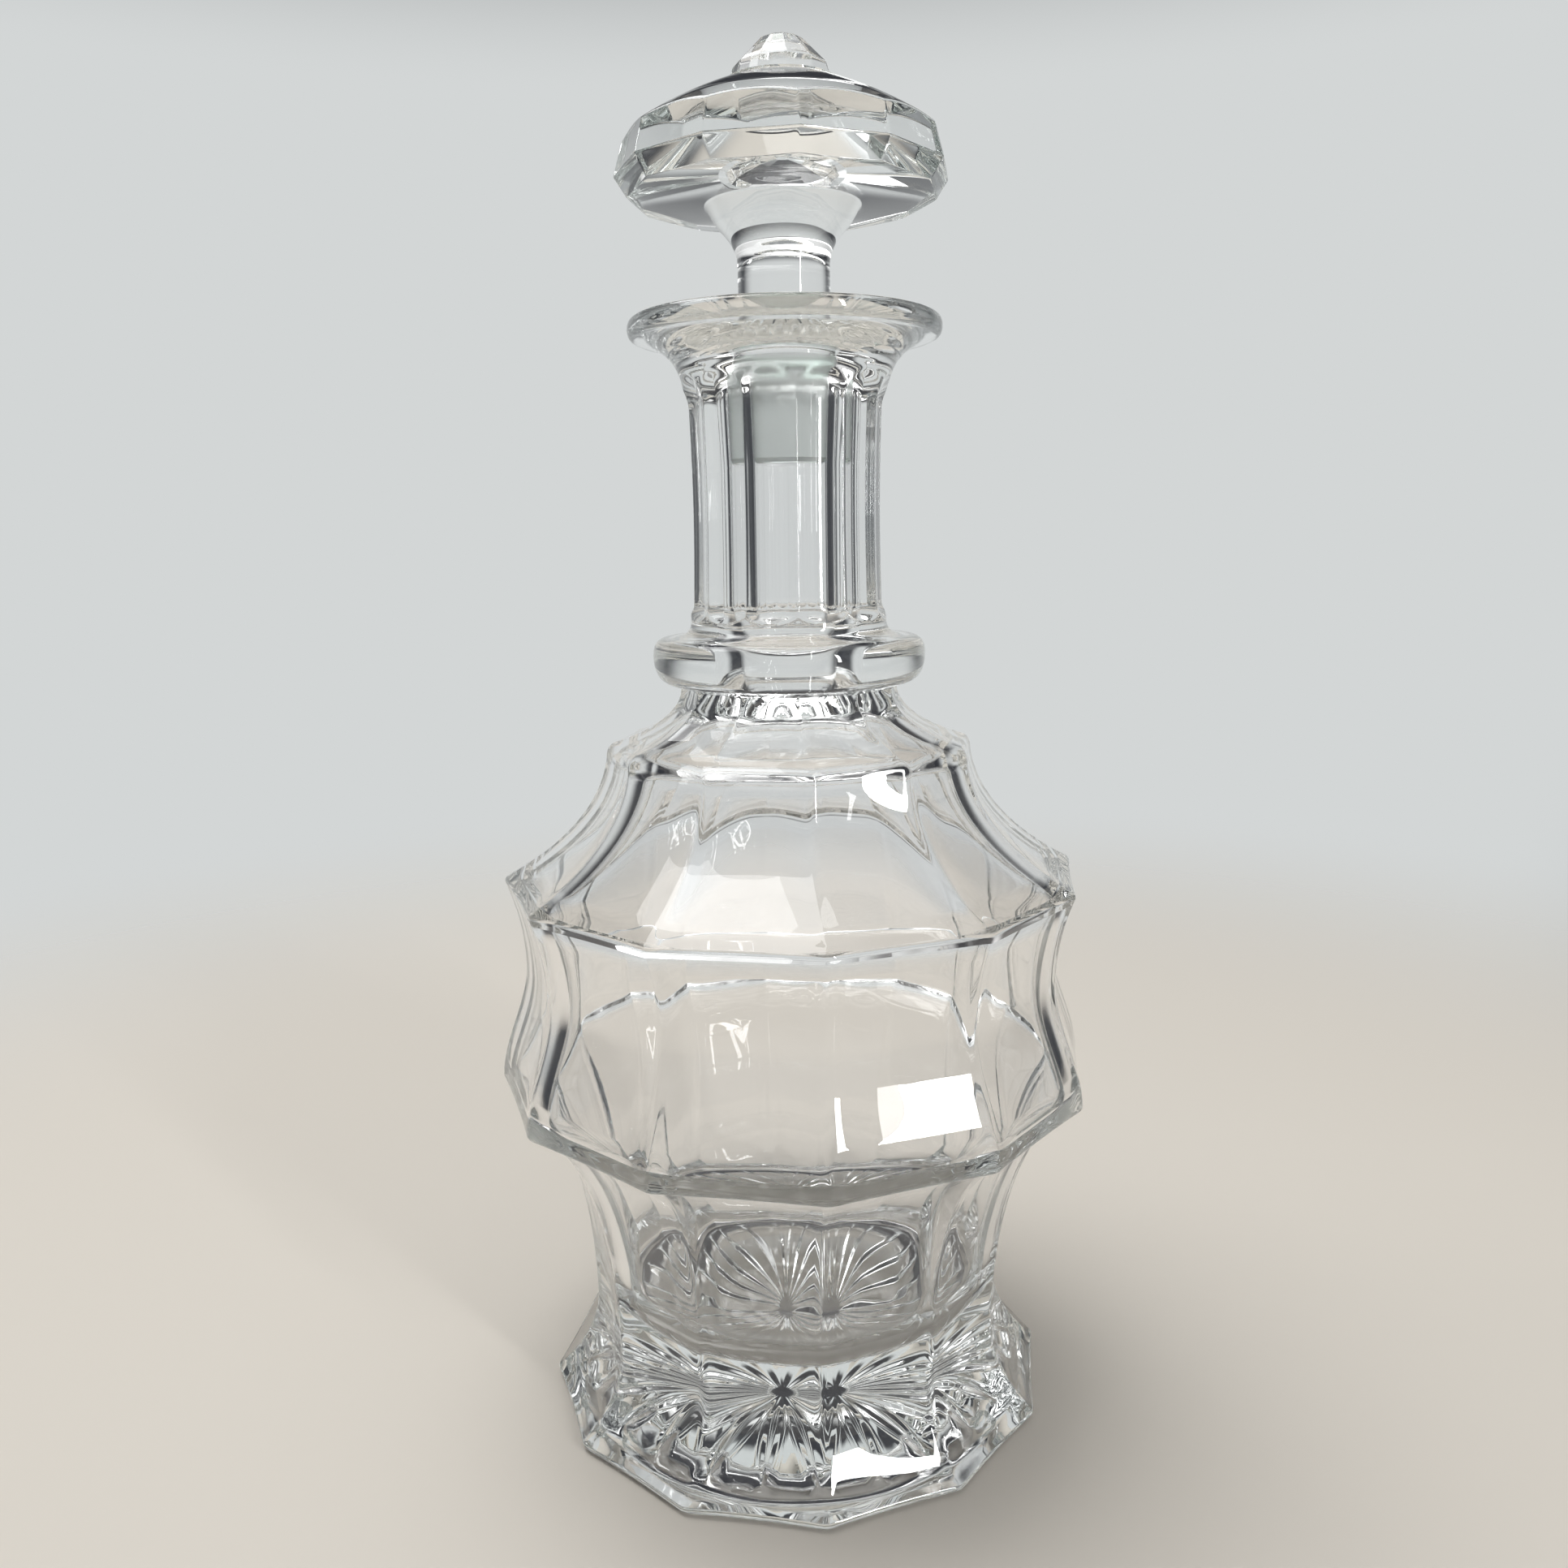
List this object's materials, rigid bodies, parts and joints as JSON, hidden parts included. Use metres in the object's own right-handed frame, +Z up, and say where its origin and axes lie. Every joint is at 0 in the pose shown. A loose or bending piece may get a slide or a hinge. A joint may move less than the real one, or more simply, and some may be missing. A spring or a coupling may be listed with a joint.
{
  "type": "glass decanter",
  "caption": "Panel-cut clear glass decanter with a fluted neck, neck ring, flared lip, star-cut base and a solid stopper with a faceted mushroom cap that lifts out.",
  "frame": {"origin": "middle of the flat base, where the decanter stands", "axes": "+Z up through the neck and the stopper, -Y towards the ridge that faces the viewer"},
  "size_m": [0.1216, 0.1216, 0.268],
  "materials": {
    "body_glass": "clear, cut and polished",
    "stopper_glass": "clear and polished, the plug ground"
  },
  "bodies": {
    "carafe": {"carafe_body": "body_glass"},
    "stopper": {"stopper": "stopper_glass"}
  },
  "joints": [
    {"name": "stopper_lift", "type": "slide", "parent": "carafe", "child": "stopper", "axis": [0, 0, 1], "range_m": [0, 0.045]}
  ]
}
